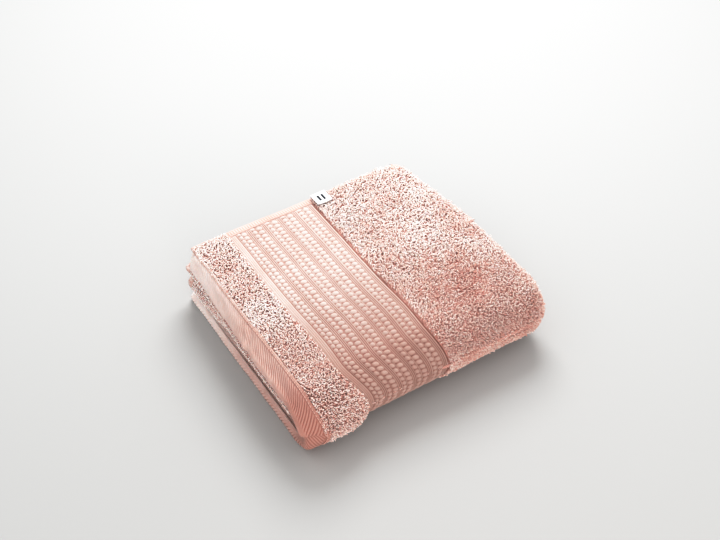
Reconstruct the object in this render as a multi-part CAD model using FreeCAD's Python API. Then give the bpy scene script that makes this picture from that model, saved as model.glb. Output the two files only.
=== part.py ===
import FreeCAD, Part
import os

# Terry towel, 500 x 1000 mm open, folded to eight layers.
#
# The cloth is folded in half and in half again along its length, so both end hems lie together,
# and then once across its width, so one end wraps round the last fold from the top to the bottom.
#
# Frame: +Z up, origin at the middle of the underside.
#   -X  the face with the end hems and the middle fold loop
#   +X  the two far folds
#   -Y  the last fold, where the upper half hinges on the lower half
#   +Y  the two side hems
#
# A place in the stack is given as x from the hem face and s from the middle plane outwards.
# The lower half is the upper half mirrored in the middle plane, apart from its end hem.

# Overall size of the folded towel
LENGTH = 248.5
WIDTH = 231.0
HEIGHT = 68.0
HALF_GAP = 0.15

# One half of the stack is four layers of cloth
LAYERS_PER_HALF = 4
HALF_HEIGHT = HEIGHT / 2 - HALF_GAP
LAYER = HALF_HEIGHT / LAYERS_PER_HALF

# Weave zones, as distances from the hem face
STRIP_START = 10.0
BORDER_START = 44.0
BORDER_END = 137.0
FAR_TURN = LENGTH - 2 * LAYER
BORDER_RECESS = 2.0

# End hems: a flat band of cloth turned twice and stitched
HEM_BAND = 16.0
HEM_THICK = 2.6
HEM_TILT_DEG = 58.0
INNER_HEM_START = 7.5
INNER_HEM_END = 16.0
LOWER_HEM_END = 15.0
LOWER_HEM_LIFT = 0.3

# Side hems along the back edge
SIDE_HEM_WIDTH = 9.0
SIDE_HEM_THICK = 3.0

# Sewing thread
THREAD = 0.8
SIDE_THREAD_IN = 8.0

# Woven label, folded flat over the top at the back edge
LABEL_SIZE = 16.0
LABEL_THICK = 0.7
LABEL_START = 138.5
LABEL_CLEARANCE = 0.35
LABEL_HINGE_IN = 1.65
LABEL_ROOT_DEPTH = 1.5
LABEL_ROOT_GAP = 0.15

X_FACE = -LENGTH / 2
Y_FOLD = -WIDTH / 2
Y_BACK = WIDTH / 2
Y_TURN = Y_FOLD + HALF_HEIGHT
Z_MID = HEIGHT / 2
Z_UPPER = Z_MID + HALF_GAP

X_AXIS = FreeCAD.Vector(1, 0, 0)
Y_AXIS = FreeCAD.Vector(0, 1, 0)
Z_AXIS = FreeCAD.Vector(0, 0, 1)


def layer_bottom(layer):
    """Distance from the middle plane to the inner face of a layer. Layer 1 is the outermost."""
    return (LAYERS_PER_HALF - layer) * LAYER


def layer_middle(layer):
    return layer_bottom(layer) + LAYER / 2


def slab(x0, x1, s0, s1):
    """Flat stretch of cloth seen from the side: a rectangle in the XZ plane at the start of the turn."""
    corner = FreeCAD.Vector(X_FACE + x0, Y_TURN, Z_UPPER + s0)
    return Part.makePlane(x1 - x0, s1 - s0, corner, -Y_AXIS, X_AXIS)


def arc(x, s, radius, side):
    """Half circle that bulges towards side: +1 is away from the hem face, -1 is towards it."""
    points = [(x, s + radius), (x + side * radius, s), (x, s - radius)]
    return Part.Arc(*[FreeCAD.Vector(X_FACE + px, Y_TURN, Z_UPPER + ps) for px, ps in points]).toShape()


def turn(x, s, outer, inner, side):
    """Half ring of cloth where it turns back on itself, or a half disc where inner is nothing."""
    edges = [arc(x, s, outer, side)]
    if inner > 0:
        edges.append(arc(x, s, inner, side))
    ends = [[edge.Vertexes[i].Point for edge in edges] for i in (0, 1)]
    if inner > 0:
        edges += [Part.makeLine(*pair) for pair in ends]
    else:
        edges.append(Part.makeLine(ends[0][0], ends[1][0]))
    return Part.Face(Part.Wire(Part.__sortEdges__(edges)))


def joined(solids):
    """One solid from several that share faces."""
    return solids[0].multiFuse(solids[1:]).removeSplitter().Solids[0]


def wrapped(faces, y_end):
    """A profile of one or more faces, carried along to y_end and round the last fold to the middle."""
    pivot = FreeCAD.Vector(0, Y_TURN, Z_UPPER)
    flats = [face.extrude(Y_AXIS * (y_end - Y_TURN)) for face in faces]
    corners = [face.revolve(pivot, X_AXIS, 90) for face in faces]
    return joined(flats + corners)


def between(faces, y0, y1):
    """A profile of one or more faces as a straight bar from y0 to y1."""
    bars = [face.extrude(Y_AXIS * (y1 - y0)) for face in faces]
    shift = Y_AXIS * (y0 - Y_TURN)
    return joined([bar.translated(shift) for bar in bars])


def lowered(shape):
    """The same piece in the lower half."""
    return shape.mirror(FreeCAD.Vector(0, 0, Z_MID), Z_AXIS)


def outer_field_profile():
    """Main terry field of the outer cloth: top layer, far fold and the layer at the middle plane."""
    top = slab(BORDER_END, FAR_TURN, layer_bottom(1), HALF_HEIGHT)
    fold = turn(FAR_TURN, HALF_HEIGHT / 2, 2 * LAYER, LAYER, 1)
    middle = slab(LAYER, FAR_TURN, 0, LAYER)
    return [top, fold, middle]


def inner_field_profile():
    """Main terry field of the inner cloth: second layer, inner far fold and third layer."""
    second = slab(BORDER_END, FAR_TURN, layer_bottom(2), layer_bottom(1))
    fold = turn(FAR_TURN, HALF_HEIGHT / 2, LAYER, 0, 1)
    third = slab(LAYER, FAR_TURN, layer_bottom(3), layer_bottom(2))
    return [second, fold, third]


def tilted_hem_profile():
    """End hem that slopes down over the hem face: a band with a rounded free edge."""
    radius = HEM_THICK / 2
    band = slab(-HEM_BAND, -HEM_THICK, -radius, radius)
    edge = turn(-HEM_BAND, 0, radius, 0, -1)
    pivot = FreeCAD.Vector(X_FACE, Y_TURN, Z_UPPER)
    place = FreeCAD.Vector(STRIP_START, 0, HALF_HEIGHT - 2 * radius)
    faces = []
    for face in (band, edge):
        face.rotate(pivot, Y_AXIS, -HEM_TILT_DEG)
        faces.append(face.translated(place))
    return faces


def side_hem_profile(strip_start):
    """Side hem seen from the back: one narrow strip that follows all four layers of its half."""
    half = SIDE_HEM_THICK / 2
    mid = [layer_middle(layer) for layer in (1, 2, 3, 4)]
    runs = [
        slab(strip_start, FAR_TURN, mid[0] - half, mid[0] + half),
        slab(STRIP_START, FAR_TURN, mid[1] - half, mid[1] + half),
        slab(LAYER, FAR_TURN, mid[2] - half, mid[2] + half),
        slab(LAYER, FAR_TURN, mid[3] - half, mid[3] + half),
    ]
    centre = HALF_HEIGHT / 2
    turns = [
        turn(FAR_TURN, centre, 1.5 * LAYER + half, 1.5 * LAYER - half, 1),
        turn(FAR_TURN, centre, LAYER / 2 + half, LAYER / 2 - half, 1),
        turn(LAYER, LAYER, LAYER / 2 + half, LAYER / 2 - half, -1),
    ]
    return runs + turns


def cloth_pieces(strip_start):
    """Pieces that the two halves have alike. strip_start is where the outer pile strip meets its hem."""
    y_cloth = Y_BACK - SIDE_HEM_WIDTH
    top = HALF_HEIGHT
    border_top = HALF_HEIGHT - BORDER_RECESS
    hem_middle = layer_middle(2)
    return {
        "pile_strip": wrapped([slab(strip_start, BORDER_START, layer_bottom(1), top)], y_cloth),
        "dobby_border": wrapped([slab(BORDER_START, BORDER_END, layer_bottom(1), border_top)], y_cloth),
        "terry_field": wrapped(outer_field_profile(), y_cloth),
        "inner_pile_strip": wrapped(
            [slab(INNER_HEM_END, BORDER_START, layer_bottom(2), layer_bottom(1))], y_cloth
        ),
        "inner_dobby_border": wrapped(
            [slab(BORDER_START, BORDER_END, layer_bottom(2), layer_bottom(1))], y_cloth
        ),
        "inner_terry_field": wrapped(inner_field_profile(), y_cloth),
        "inner_end_hem": wrapped(
            [slab(INNER_HEM_START, INNER_HEM_END, hem_middle - HEM_THICK / 2, hem_middle + HEM_THICK / 2)],
            y_cloth,
        ),
        "fold_loop": wrapped([turn(LAYER, LAYER, LAYER, 0, -1)], y_cloth),
        "side_hem": between(side_hem_profile(strip_start), y_cloth, Y_BACK),
        "side_hem_stitching": side_stitching(strip_start),
    }


def side_stitching(strip_start):
    """Thread along the outer face of the side hem."""
    s = layer_middle(1) + SIDE_HEM_THICK / 2
    y = Y_BACK - SIDE_THREAD_IN
    return between([slab(strip_start + THREAD, FAR_TURN, s, s + THREAD / 2)], y, y + THREAD)


def upper_end_hem():
    return wrapped(tilted_hem_profile(), Y_BACK)


def lower_end_hem():
    """End hem that lies flat under the stack."""
    s = HALF_HEIGHT - LOWER_HEM_LIFT
    return lowered(wrapped([slab(0, LOWER_HEM_END, s - HEM_THICK, s)], Y_BACK))


def upper_hem_stitching():
    """Thread in the valley between the sloping hem and the pile."""
    s = HALF_HEIGHT - THREAD
    profile = slab(STRIP_START - THREAD, STRIP_START, s, s + THREAD)
    return wrapped([profile], Y_BACK - SIDE_HEM_WIDTH)


def lower_hem_stitching():
    """Thread on the inner face of the flat hem."""
    s = HALF_HEIGHT - LOWER_HEM_LIFT - HEM_THICK
    profile = slab(LOWER_HEM_END - 2 * THREAD, LOWER_HEM_END - THREAD, s - THREAD / 2, s)
    return lowered(wrapped([profile], Y_BACK - SIDE_HEM_WIDTH))


def label_box(y1, depth, z0, z1):
    corner = FreeCAD.Vector(X_FACE + LABEL_START, y1 - depth, z0)
    return Part.makeBox(LABEL_SIZE, depth, z1 - z0, corner)


def label():
    """Flap of the label, lying on the pile. It turns about its back edge."""
    z0 = HEIGHT + LABEL_CLEARANCE
    return label_box(Y_BACK - LABEL_HINGE_IN, LABEL_SIZE, z0, z0 + LABEL_THICK)


def label_root():
    """End of the label that is sewn down on the side hem."""
    z0 = Z_UPPER + layer_middle(1) + SIDE_HEM_THICK / 2
    z1 = HEIGHT + LABEL_CLEARANCE - LABEL_ROOT_GAP
    y1 = Y_BACK - LABEL_HINGE_IN + LABEL_ROOT_DEPTH / 2
    return label_box(y1, LABEL_ROOT_DEPTH, z0, z1)


def all_pieces():
    pieces = {}
    for name, shape in cloth_pieces(STRIP_START).items():
        pieces["upper_" + name] = shape
    for name, shape in cloth_pieces(LOWER_HEM_END).items():
        pieces["lower_" + name] = lowered(shape)
    pieces["upper_end_hem"] = upper_end_hem()
    pieces["lower_end_hem"] = lower_end_hem()
    pieces["upper_hem_stitching"] = upper_hem_stitching()
    pieces["lower_hem_stitching"] = lower_hem_stitching()
    pieces["label"] = label()
    pieces["label_root"] = label_root()
    return pieces


os.makedirs("parts", exist_ok=True)
for node, piece in all_pieces().items():
    piece.exportStep("parts/" + node + ".step")
    print(node, len(piece.Solids), piece.isValid(), round(piece.Volume))
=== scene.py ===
import math

import bpy
import numpy as np
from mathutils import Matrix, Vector


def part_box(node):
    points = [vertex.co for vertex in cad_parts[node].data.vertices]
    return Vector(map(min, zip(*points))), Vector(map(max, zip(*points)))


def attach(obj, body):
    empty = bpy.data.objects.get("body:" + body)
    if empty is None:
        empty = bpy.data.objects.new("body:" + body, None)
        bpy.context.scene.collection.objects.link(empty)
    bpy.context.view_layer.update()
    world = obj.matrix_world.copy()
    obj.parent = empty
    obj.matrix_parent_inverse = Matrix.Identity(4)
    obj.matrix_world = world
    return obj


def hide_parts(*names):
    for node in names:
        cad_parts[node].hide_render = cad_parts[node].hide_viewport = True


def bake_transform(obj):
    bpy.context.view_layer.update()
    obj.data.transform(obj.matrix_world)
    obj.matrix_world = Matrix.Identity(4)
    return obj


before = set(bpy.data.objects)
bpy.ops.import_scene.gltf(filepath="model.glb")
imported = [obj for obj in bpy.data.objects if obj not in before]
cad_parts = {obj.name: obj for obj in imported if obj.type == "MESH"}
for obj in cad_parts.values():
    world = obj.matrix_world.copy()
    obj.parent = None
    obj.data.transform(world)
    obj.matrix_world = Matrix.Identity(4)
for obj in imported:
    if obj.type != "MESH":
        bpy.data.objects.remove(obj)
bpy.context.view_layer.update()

MM = 0.001

# ---------------------------------------------------------------- places read from the frame, in mm


def corners(node):
    low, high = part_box(node)
    return np.array(low) / MM, np.array(high) / MM


strip_low, strip_high = corners("upper_pile_strip")
border_low, border_high = corners("upper_dobby_border")
field_high = corners("upper_terry_field")[1]
side_low, side_high = corners("upper_side_hem")
base_hem_low, base_hem_high = corners("lower_end_hem")
inner_hem_low, inner_hem_high = corners("lower_inner_end_hem")
label_low, label_high = corners("label")
root_low, root_high = corners("label_root")

X_FACE = base_hem_low[0]
Y_BACK = side_high[1]
HALF = strip_high[2] / 2
LAYER = HALF / 4
Y_TURN = strip_low[1] + HALF
V_FLAT = Y_BACK - Y_TURN
V_HINGE = V_FLAT + HALF * math.pi / 2
LENGTH = field_high[0] - X_FACE
FAR = LENGTH - 2 * LAYER
BORDER_START = border_low[0] - X_FACE
BORDER_END = border_high[0] - X_FACE
SIDE_HEM = Y_BACK - side_low[1]
INNER_HEM_START = inner_hem_low[0] - X_FACE
INNER_HEM_END = inner_hem_high[0] - X_FACE
BASE_HEM_END = base_hem_high[0] - X_FACE
STRIP_START = strip_low[0] - X_FACE

# Half the thickness of the woven ground, and the height of the loops on it.
GROUND = 0.7
PILE = LAYER / 2 - GROUND
# How far above the floor the lower half's pieces stay.
HEM_CLEAR, BORDER_CLEAR, STITCH_CLEAR, PILE_CLEAR = 0.15, 0.3, 0.5, 0.55
# A half is named by 1 or -1, and a piece across the last fold, in neither half, by CREASE.
BODY = {1: "upper_half", -1: "lower_half"}
HALF_NAME = {1: "upper_", -1: "lower_"}
CREASE = "crease"
CREASE_R, CREASE_LEAF, CREASE_DEPTH = 1.1, 6, 2.2
# A terry loop is a line of this many points, with a ring of RING corners at each.
LOOP_STEPS, COARSE_STEPS, RING = 6, 5, 4
# Places across the cloth where the field's pile is divided into pieces.
FIELD_BACK, FIELD_MIDDLE, FIELD_FRONT = 3.2, 68, 134
# What is left bare at the inner end of the ground cloth.
GROUND_END = 6

# ---------------------------------------------------------------- smooth unevenness of the cloth


LATTICE = 61


def lattice(seed, cell, cell_b=None):
    """Smooth noise in -1..1 on a lattice with cells of that many mm. It repeats after LATTICE cells."""
    values = np.random.default_rng(seed).uniform(-1, 1, (LATTICE, LATTICE))
    cell_b = cell_b or cell

    def noise(a, b):
        a, b = np.asarray(a, float) / cell + 17.3, np.asarray(b, float) / cell_b + 11.7
        i, j = np.floor(a).astype(int), np.floor(b).astype(int)
        fa, fb = a - i, b - j
        fa, fb = fa * fa * (3 - 2 * fa), fb * fb * (3 - 2 * fb)
        i0, i1, j0, j1 = i % LATTICE, (i + 1) % LATTICE, j % LATTICE, (j + 1) % LATTICE
        near = values[i0, j0] * (1 - fa) + values[i1, j0] * fa
        far = values[i0, j1] * (1 - fa) + values[i1, j1] * fa
        return near * (1 - fb) + far * fb

    return noise


def smooth(t):
    """0 below 0, 1 above 1, with an easy passage between."""
    t = np.clip(t, 0, 1)
    return t * t * (3 - 2 * t)


def bell(a, width):
    """1 at 0, falling off to both sides."""
    return np.exp(-((a / width) ** 2))


lump_wide, lump_mid, lump_small = lattice(3, 62), lattice(4, 27), lattice(5, 11)
edge_wide, edge_small = lattice(6, 48), lattice(7, 15)
comb_u, comb_v = lattice(8, 13), lattice(9, 13)
bunch, patch_tone = lattice(10, 9), lattice(11, 34)


def swell(x, v):
    """How far the top of the stack stands above or below its flat place, in mm."""
    body = 0.9 * lump_wide(x, v) + 0.5 * lump_mid(x, v)
    body += 0.3 * lump_small(x, v) * smooth((abs(x - 90) - 50) / 20)
    crease = 117 - 0.07 * x
    ridge = 0.7 * bell(v - crease, 3.2) * smooth((x - 8) / 8) * smooth((150 - x) / 30)
    return body + ridge


def place(x, v, s, half, shift=0.0, flat=False):
    """A place in the cloth, in the row frame in mm. x runs from the hem face, v across the cloth from the
    back edge, and s out from the middle plane. Past V_FLAT the cloth turns round the last fold."""
    x, v, s = np.broadcast_arrays(np.asarray(x, float), np.asarray(v, float), np.asarray(s, float))
    if flat:
        phi = np.zeros_like(v)
        run = v
    else:
        phi = np.clip((v - V_FLAT) / HALF, 0, math.pi / 2)
        run = np.minimum(v, V_FLAT)
    # The far side swells out, more so towards the last fold.
    bulge = smooth((x - 150) / 85) * (1.5 + 12.5 * smooth((v + 5) / 125)) * (1.0 if half > 0 else 0.8)
    # Round the last fold the strip and the border move away from the hem face.
    turned = smooth(phi / (math.pi / 2))
    spread = np.interp(x, (0, 12, BORDER_START, BORDER_END, 200, 240), (0, 2, 17, 10, 3, 0))
    if half < 0:
        lift = swell(x, V_HINGE) * np.sin(phi) ** 2
        wander = 0
    else:
        lift = swell(x, v)
        wander = 2.6 * bell(v - 171, 38)
        wander = wander * np.interp(x, (0, 15, 50, 140, 210), (0, 0.2, 1, 1, 0))
    # The pile strip stands out round the last fold.
    lift = lift + np.interp(x, (-3, 6, 16, 36, 44, 46), (6, 7, 8, 8, 1, 0)) * np.sin(phi) ** 1.3
    s = s + lift * np.clip(s / HALF, 0, 1)
    y = Y_BACK - run - s * np.sin(phi) + shift * np.exp(-np.clip(v, 0, 400) / 28)
    z = HALF + half * s * np.cos(phi)
    return np.stack([X_FACE + x + spread * turned + wander + bulge, y, z], -1)


# The cloth of one half, seen from the side: top layer, far fold, layer at the middle plane, fold loop at the
# hem face, third layer, inner far fold, second layer. RUNS are the lengths along it where these start.
OUTER_R, INNER_R = 1.5 * LAYER, 0.5 * LAYER
RUNS = np.cumsum([0, FAR, math.pi * OUTER_R, FAR - LAYER, math.pi * INNER_R, FAR - LAYER,
                  math.pi * INNER_R, FAR - INNER_HEM_START])


def profile(u, h):
    """(x, s) at a length u along the cloth, h out from its middle on the side that is up in the top layer."""
    u, h = np.broadcast_arrays(np.asarray(u, float), np.asarray(h, float))
    run = np.clip(np.searchsorted(RUNS, u, side="right") - 1, 0, 6)
    d = u - RUNS[run]
    wide, tight = d / OUTER_R, d / INNER_R
    x = np.choose(run, [d, FAR + (OUTER_R + h) * np.sin(wide), FAR - d,
                        LAYER - (INNER_R + h) * np.sin(tight), LAYER + d,
                        FAR + (INNER_R - h) * np.sin(tight), FAR - d])
    s = np.choose(run, [3.5 * LAYER + h, 2 * LAYER + (OUTER_R + h) * np.cos(wide), 0.5 * LAYER - h,
                        LAYER - (INNER_R + h) * np.cos(tight), 1.5 * LAYER + h,
                        2 * LAYER - (INNER_R - h) * np.cos(tight), 2.5 * LAYER - h])
    return x, s


# How far the layers inside the hem face sink at the last fold, in mm.
DROOP = 10.5


def slump(x, v, s, half):
    """Near the hem face the folded layers push out at the back, and towards the last fold they sink."""
    near = np.clip(1 - x / 26, 0, 1)
    sunk = smooth((v - 20) / 110)
    x = x - near * (3.2 * bell(v, 75) + 0.4 + 0.5 * edge_small(v, s * 0.6))
    if half > 0:
        x = x + near * (6.0 * smooth((s - 9) / 6) * smooth((24 - s) / 3) - 3.8 * sunk * smooth((14 - s) / 4))
        return x, s - DROOP * sunk * smooth(1.7 * near) * smooth((25 - s) / 16)
    x = x + 6.5 * sunk * near * smooth((24 - s) / 6)
    s = s + 4.6 * near * smooth(s / 14) * smooth((27.5 - s) / 4)
    return x, s + DROOP * sunk * smooth(1.7 * near) * smooth((24 - s) / 24)


def wander_along(a, half):
    """How far a line across the cloth strays from straight, in mm."""
    return 1.3 * edge_wide(a, 40 * half) + 0.7 * edge_small(a, 90 * half)


def off_floor(points, least):
    """Moves points up in place, so that none is lower than least."""
    points[..., 2] = np.maximum(points[..., 2], least)


def cloth(u, v, h, half, flat=False):
    """A place in the cloth of a half, at a length u along it, v across it and h out from its middle."""
    x, s = profile(u, h)
    x, v, s = np.broadcast_arrays(x, np.asarray(v, float), s)
    x, s = slump(x, v, s, half)
    return place(x, v, np.maximum(s, 0.12 - DROOP * (half > 0)), half, wander_along(u, half), flat)


# ---------------------------------------------------------------- meshes


def grid(rows, columns, closed=False):
    """Quads of a grid of points in rows. closed joins the last column to the first."""
    i = np.arange(rows - 1)[:, None]
    j = np.arange(columns if closed else columns - 1)[None]
    a, b = i * columns + j, i * columns + (j + 1) % columns
    return np.stack([a, b, b + columns, a + columns], -1).reshape(-1, 4)


def mirrored_volume(points, faces):
    """True if the faces look inwards."""
    total = 0.0
    for group in faces:
        a, b, c = points[group[:, 0]], points[group[:, 1]], points[group[:, 2]]
        total += np.einsum("ij,ij->", a, np.cross(b, c))
        if group.shape[1] == 4:
            total += np.einsum("ij,ij->", a, np.cross(c, points[group[:, 3]]))
    return total < 0


def piece(name, points, faces, body, slot, material, replaces=(), **attributes):
    """A mesh piece from points in mm and groups of faces with equally many corners."""
    points = np.asarray(points, float).reshape(-1, 3)
    faces = [np.asarray(group) for group in faces]
    if mirrored_volume(points, [g for g in faces if g.shape[1] <= 4]):
        faces = [group[:, ::-1] for group in faces]
    sizes = np.concatenate([np.full(len(group), group.shape[1]) for group in faces])
    starts = np.concatenate([[0], np.cumsum(sizes)[:-1]])
    mesh = bpy.data.meshes.new(name)
    mesh.vertices.add(len(points))
    mesh.vertices.foreach_set("co", (points * MM).astype(np.float32).ravel())
    mesh.loops.add(int(sizes.sum()))
    mesh.loops.foreach_set("vertex_index", np.concatenate([g.ravel() for g in faces]).astype(np.int32))
    mesh.polygons.add(len(sizes))
    mesh.polygons.foreach_set("loop_start", starts.astype(np.int32))
    mesh.update(calc_edges=True)
    mesh.shade_smooth()
    for key, value in attributes.items():
        value = np.asarray(value, np.float32)
        vector = value.ndim > 1
        data = mesh.attributes.new(key, "FLOAT_VECTOR" if vector else "FLOAT", "POINT")
        data.data.foreach_set("vector" if vector else "value", value.ravel())
    mesh.materials.append(material)
    made = bpy.data.objects.new(name, mesh)
    bpy.context.scene.collection.objects.link(made)
    if body == CREASE:
        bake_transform(made)
    else:
        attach(made, body)
    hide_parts(*replaces)
    return made


def unit(vectors):
    return vectors / np.maximum(np.linalg.norm(vectors, axis=-1, keepdims=True), 1e-9)


def tubes(lines, radius, across, sides=RING):
    """Closed tubes along lines (n, k, 3). across (n, 3) is a direction that no line runs along."""
    n, k = lines.shape[:2]
    along = unit(np.gradient(lines, axis=1))
    up = unit(np.cross(along, across[:, None]))
    flat = np.cross(up, along)
    angle = np.arange(sides) / sides * 2 * math.pi + math.pi / 4
    radius = np.broadcast_to(radius, (n, k))[..., None, None]
    ring = np.cos(angle)[:, None] * flat[:, :, None] + np.sin(angle)[:, None] * up[:, :, None]
    points = lines[:, :, None] + radius * ring
    start = (np.arange(n) * k * sides)[:, None, None]
    faces = (start + grid(k, sides, closed=True)).reshape(-1, 4)
    ends = np.arange(sides)
    caps = np.concatenate([(start[:, 0] + ends[::-1]), (start[:, 0] + (k - 1) * sides + ends)])
    return points.reshape(-1, 3), [faces, caps]


def arc_steps(steps):
    """Places along a loop from 0 to 1, and how high the loop stands there."""
    t = np.linspace(0, 1, steps)[None]
    return t, np.sin(math.pi * t)


def facing(lines, out):
    """A direction across each line, square to out."""
    return unit(np.cross(lines[:, -1] - lines[:, 0], out))


def weave_map(a, b):
    """Flat places (a, b) in mm for the weave of a material."""
    return np.stack(np.broadcast_arrays(a, b, 0.0), -1).reshape(-1, 3)


def loop_marks(arch, tone, height=1.0):
    """Attributes of terry loops: tip is 0 at the feet of each, and tone is one number a loop. tip carries
    painted shade: the feet are darker and the tips paler, and the tips are less pale where height is below 1.
    """
    tip = np.broadcast_to(height * arch**0.8, (tone.size, arch.size))
    return {"tip": np.repeat(tip.ravel(), RING), "tone": np.repeat(tone, arch.size * RING)}


# ---------------------------------------------------------------- materials


def colour(red, green, blue):
    """sRGB 0..255 as the linear colour that nodes take."""
    out = []
    for c in (red, green, blue):
        c /= 255
        out.append(c / 12.92 if c <= 0.04045 else ((c + 0.055) / 1.055) ** 2.4)
    return (*out, 1.0)


class Nodes:
    """A short way to build a node material."""

    def __init__(self, name, roughness, sheen=0.0, soft=0.0):
        self.material = bpy.data.materials.new(name)
        self.material.use_nodes = True
        self.tree = self.material.node_tree
        self.shader = self.tree.nodes["Principled BSDF"]
        self.fill(self.shader, {
            "Roughness": roughness, "Sheen Weight": sheen, "Sheen Roughness": 0.6, "Specular IOR Level": 0.15,
            "Subsurface Weight": soft, "Subsurface Radius": (1.0, 0.42, 0.32), "Subsurface Scale": 0.0012})

    def fill(self, node, values):
        """Sets sockets to constants, or links them to outputs."""
        for key, value in values.items():
            if isinstance(value, bpy.types.NodeSocket):
                self.link(value, node.inputs[key])
            else:
                node.inputs[key].default_value = value

    def add(self, kind, values=None, **settings):
        node = self.tree.nodes.new(kind)
        for key, value in settings.items():
            setattr(node, key, value)
        self.fill(node, values or {})
        return node

    def link(self, output, socket):
        self.tree.links.new(output, socket)

    def attribute(self, name, output="Fac"):
        return self.add("ShaderNodeAttribute", attribute_name=name).outputs[output]

    def ramp(self, value, *stops):
        node = self.add("ShaderNodeValToRGB")
        elements = node.color_ramp.elements
        while len(elements) < len(stops):
            elements.new(0.5)
        for element, (position, rgba) in zip(elements, stops):
            element.position = position
            element.color = rgba
        self.link(value, node.inputs["Fac"])
        return node.outputs["Color"]

    def blotches(self, scale, detail, rgba):
        """White with patches of rgba."""
        return self.ramp(self.noise(scale, detail), (0.3, rgba), (0.7, WHITE))

    def noise(self, scale, detail=2.0):
        values = {"Scale": scale, "Detail": detail, "Vector": self.coordinates()}
        return self.add("ShaderNodeTexNoise", values).outputs["Fac"]

    def wave(self, vector, scale, direction, distortion):
        values = {"Scale": scale, "Distortion": distortion, "Detail": 1.0, "Vector": vector}
        return self.add("ShaderNodeTexWave", values, bands_direction=direction).outputs["Fac"]

    def coordinates(self):
        return self.add("ShaderNodeTexCoord").outputs["Object"]

    def math(self, operation, a, b):
        return self.add("ShaderNodeMath", {0: a, 1: b}, operation=operation).outputs[0]

    def base(self, product, *others):
        """The base colour, as a product of colours."""
        for other in others:
            values = {0: 1.0, 6: product, 7: other}
            product = self.add("ShaderNodeMix", values, data_type="RGBA", blend_type="MULTIPLY").outputs[2]
        self.link(product, self.shader.inputs["Base Color"])

    def deeper(self, vector, rgba, span):
        """Painted shade: white at the back, going over to rgba towards the last fold."""
        v = self.add("ShaderNodeSeparateXYZ", {0: vector}).outputs["Y"]
        share = self.add("ShaderNodeMapRange", {"Value": v, "From Min": span[0], "From Max": span[1]})
        return self.ramp(share.outputs["Result"], (0.0, WHITE), (1.0, rgba))

    def rough(self, value, low, high):
        node = self.add("ShaderNodeMapRange", {"To Min": low, "To Max": high, "Value": value})
        self.link(node.outputs["Result"], self.shader.inputs["Roughness"])

    def bump(self, height, strength, distance):
        node = self.add("ShaderNodeBump", {"Strength": strength, "Distance": distance, "Height": height})
        self.link(node.outputs["Normal"], self.shader.inputs["Normal"])


WHITE = (1.0, 1.0, 1.0, 1.0)
# Painted shade: the colour gets deeper over these spans across the cloth, in mm from the back edge, as the
# cloth turns away from the light towards the last fold.
FOLD_SHADE_SPAN = (100, 205)
HEM_SHADE_SPAN, HEM_END = (30, 120), (175, 215)
# Loop colours from tip to foot; the darker foot is painted shade between the loops.
TIP, MIDDLE, LOOP_FOOT_SHADE = colour(253, 247, 245), colour(249, 236, 232), colour(222, 180, 171)


def terry_material():
    """Cotton loops: pale twisted tips over darker pink feet that are painted shade, no two loops quite the same
    tone.
    """
    m = Nodes("terry_loops", 0.95, sheen=0.04, soft=0.12)
    along = m.ramp(m.attribute("tip"), (0.0, LOOP_FOOT_SHADE), (0.45, MIDDLE), (1.0, TIP))
    tone = m.ramp(m.attribute("tone"), (0.0, colour(226, 188, 178)), (0.5, colour(248, 239, 236)), (1.0, WHITE))
    m.base(along, tone, m.blotches(900, 3, colour(246, 240, 238)))
    m.rough(m.noise(700, 1), 0.85, 1.0)
    m.bump(m.noise(2600, 2), 0.5, 0.0002)
    return m.material


def ground_material():
    """The plain weave that the loops stand on. Its pink is deeper than the loops': painted shade for the ground
    under the pile.
    """
    m = Nodes("ground_weave", 0.95)
    vector = m.attribute("weave", "Vector")
    weave = m.math("MULTIPLY", m.wave(vector, 0.5, "X", 0.4), m.wave(vector, 0.5, "Y", 0.4))
    m.base(m.ramp(weave, (0.0, colour(218, 170, 160)), (1.0, colour(244, 214, 206))),
           m.blotches(60, 2, colour(225, 215, 212)))
    m.rough(weave, 0.88, 1.0)
    m.bump(weave, 0.6, 0.0004)
    return m.material


def dobby_material():
    """Flat woven cotton. relief is 0 in the grooves and 1 on the beads. Its colour is painted shade in the
    grooves and painted light on the beads, with painted shade deepening towards the last fold.
    """
    m = Nodes("dobby_cotton", 0.8, sheen=0.04, soft=0.08)
    vector = m.attribute("weave", "Vector")
    threads = m.math("MULTIPLY", m.wave(vector, 0.42, "X", 0.5), m.wave(vector, 0.55, "Y", 0.6))
    body = m.ramp(m.attribute("relief"), (0.0, colour(140, 94, 85)), (0.25, colour(176, 140, 131)),
                  (0.55, colour(218, 208, 204)), (1.0, colour(224, 218, 216)))
    m.base(body, m.deeper(vector, colour(220, 203, 197), FOLD_SHADE_SPAN),
           m.ramp(threads, (0.0, colour(236, 226, 223)), (0.6, WHITE)),
           m.blotches(45, 3, colour(246, 241, 239)))
    m.rough(threads, 0.7, 0.92)
    m.bump(m.math("ADD", threads, m.math("MULTIPLY", m.noise(1500, 2), 0.5)), 0.45, 0.0003)
    return m.material


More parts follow.
